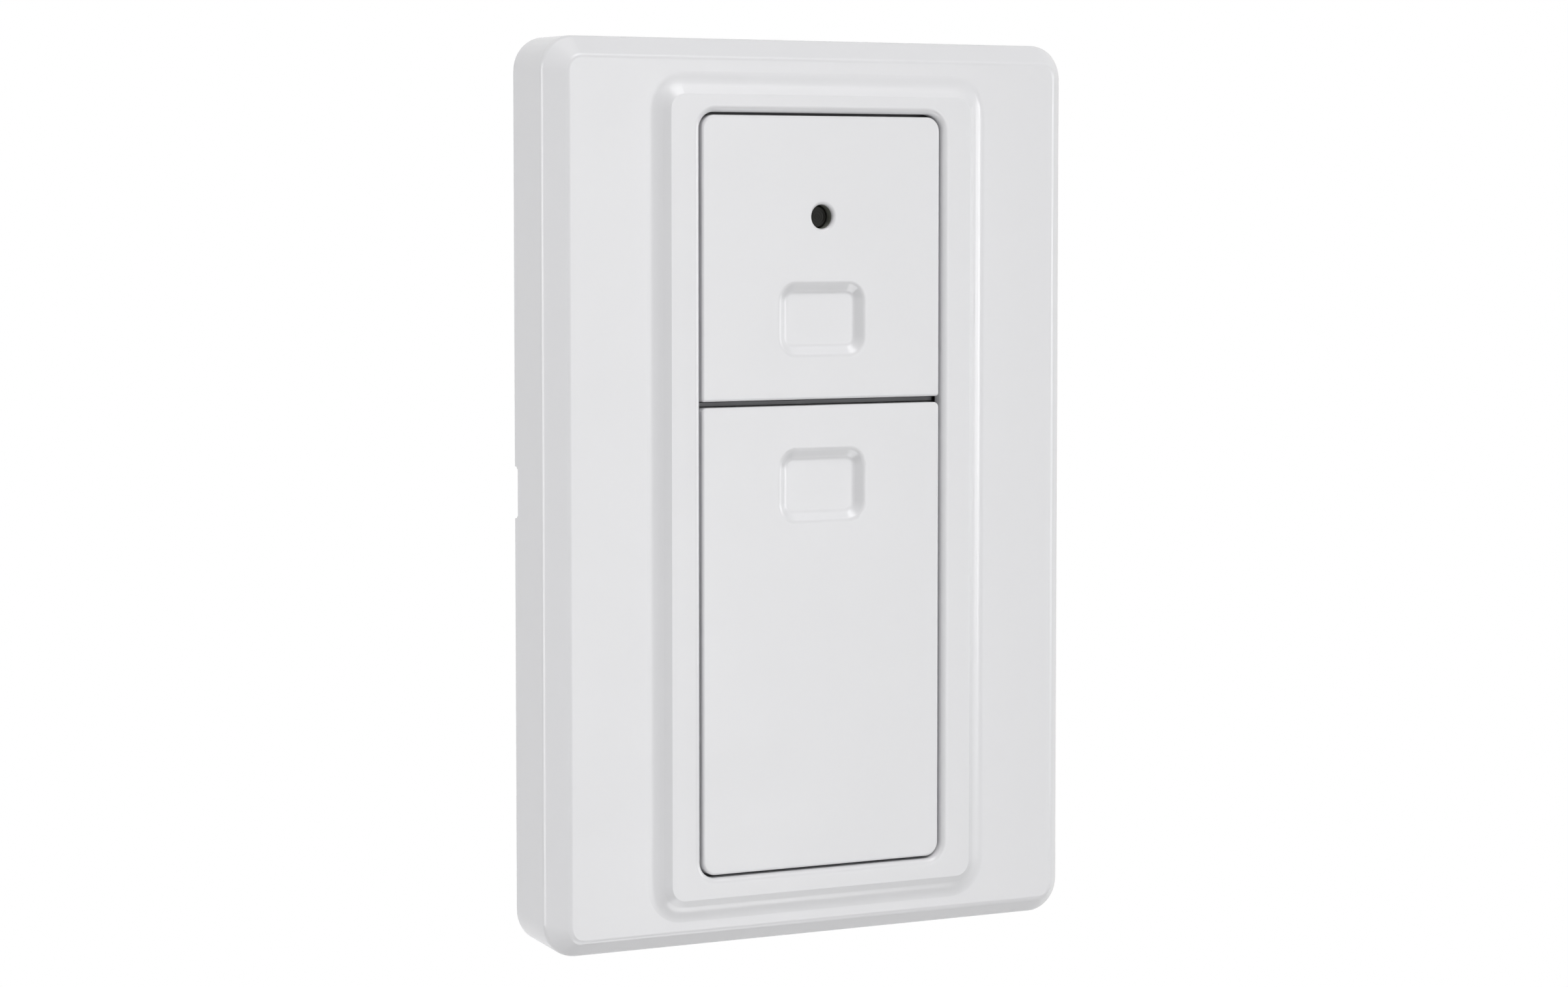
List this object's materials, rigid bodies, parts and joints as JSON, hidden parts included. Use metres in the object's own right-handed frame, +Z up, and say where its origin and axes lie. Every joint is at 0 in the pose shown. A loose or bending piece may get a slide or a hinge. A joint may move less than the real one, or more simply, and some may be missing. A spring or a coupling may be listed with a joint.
{
  "type": "garage door wall button",
  "caption": "Wall control for a garage door opener: bevelled case with raised surround, hinged press keys with finger dimples, lamp, circuit board, coin cell and screw-on wall plate.",
  "frame": {"origin": "centre of the flat back face, on the wall", "axes": "+Z up, +X to the right as seen from the room, +Y into the wall, so the keys face -Y"},
  "size_m": [0.08, 0.0119, 0.12],
  "materials": {
    "case_white": "fine satin",
    "key_white": "fine satin",
    "plate_white": "fine satin",
    "smoked_black": "semi-gloss",
    "lamp_smoked": "smoked, glossy",
    "carrier_grey": "matte",
    "foam_black": "foam",
    "board_green": "solder mask",
    "screw_steel": "zinc plated",
    "sheet_steel": "satin",
    "cell_steel": "nickel, fine brushed",
    "clip_steel": "nickel, satin",
    "tinned_brass": "tinned",
    "gold_contact": "gold flash",
    "switch_black": "matte",
    "plunger_black": "satin",
    "chip_black": "moulded epoxy",
    "crystal_can": "satin",
    "ceramic_tan": "fired ceramic",
    "resistor_black": "glazed",
    "antenna_copper": "bright copper",
    "learn_yellow": "satin"
  },
  "bodies": {
    "wall_plate": {"wall_plate": "plate_white"},
    "front": {"front_frame": "case_white", "inner_carrier": "carrier_grey", "key_bumpers": "foam_black", "circuit_board": "board_green", "carrier_screws": "screw_steel", "board_screws": "screw_steel", "upper_switch_base": "switch_black", "upper_switch_cover": "sheet_steel", "upper_switch_dome": "sheet_steel", "upper_switch_terminals": "tinned_brass", "lower_switch_base": "switch_black", "lower_switch_cover": "sheet_steel", "lower_switch_dome": "sheet_steel", "lower_switch_terminals": "tinned_brass", "lamp_body": "lamp_smoked", "lamp_leads": "tinned_brass", "battery_contact": "gold_contact", "battery_clip": "clip_steel", "microcontroller": "chip_black", "radio_chip": "chip_black", "crystal": "crystal_can", "chip_capacitors": "ceramic_tan", "chip_resistors": "resistor_black", "antenna_wire": "antenna_copper", "learn_switch_base": "switch_black", "learn_switch_cover": "sheet_steel"},
    "upper_key": {"upper_button": "key_white", "lamp_shroud": "smoked_black"},
    "lower_key": {"lower_button": "key_white"},
    "upper_plunger": {"upper_switch_plunger": "plunger_black"},
    "lower_plunger": {"lower_switch_plunger": "plunger_black"},
    "learn_plunger": {"learn_switch_plunger": "learn_yellow"},
    "battery": {"battery_can": "cell_steel", "battery_cap": "cell_steel"}
  },
  "joints": [
    {"name": "front_release", "type": "slide", "parent": "wall_plate", "child": "front", "axis": [0, -1, 0], "range_m": [0, 0.03]},
    {"name": "upper_key_press", "type": "hinge", "parent": "front", "child": "upper_key", "pos_m": [0, -0.00905, 0.04835], "axis": [1, 0, 0], "range_deg": [0, 0.8], "stiffness_Nm_per_rad": 2, "springref_deg": -0.29},
    {"name": "lower_key_press", "type": "hinge", "parent": "front", "child": "lower_key", "pos_m": [0, -0.00905, -0.04871], "axis": [-1, 0, 0], "range_deg": [0, 0.45], "stiffness_Nm_per_rad": 5, "springref_deg": -0.17},
    {"name": "upper_plunger_slide", "type": "slide", "parent": "front", "child": "upper_plunger", "axis": [0, 1, 0], "range_m": [0, 0.0004]},
    {"name": "lower_plunger_slide", "type": "slide", "parent": "front", "child": "lower_plunger", "axis": [0, 1, 0], "range_m": [0, 0.0004]},
    {"name": "learn_press", "type": "slide", "parent": "front", "child": "learn_plunger", "axis": [0, -1, 0], "range_m": [0, 0.0003], "stiffness_N_per_m": 300, "springref_m": -0.0003},
    {"name": "battery_slide", "type": "slide", "parent": "front", "child": "battery", "axis": [0, 0, -1], "range_m": [0, 0.022]}
  ],
  "couplings": [
    {"joint": "upper_plunger_slide", "follows": "upper_key_press", "m_per_rad": 0.02533},
    {"joint": "lower_plunger_slide", "follows": "lower_key_press", "m_per_rad": 0.04963}
  ]
}
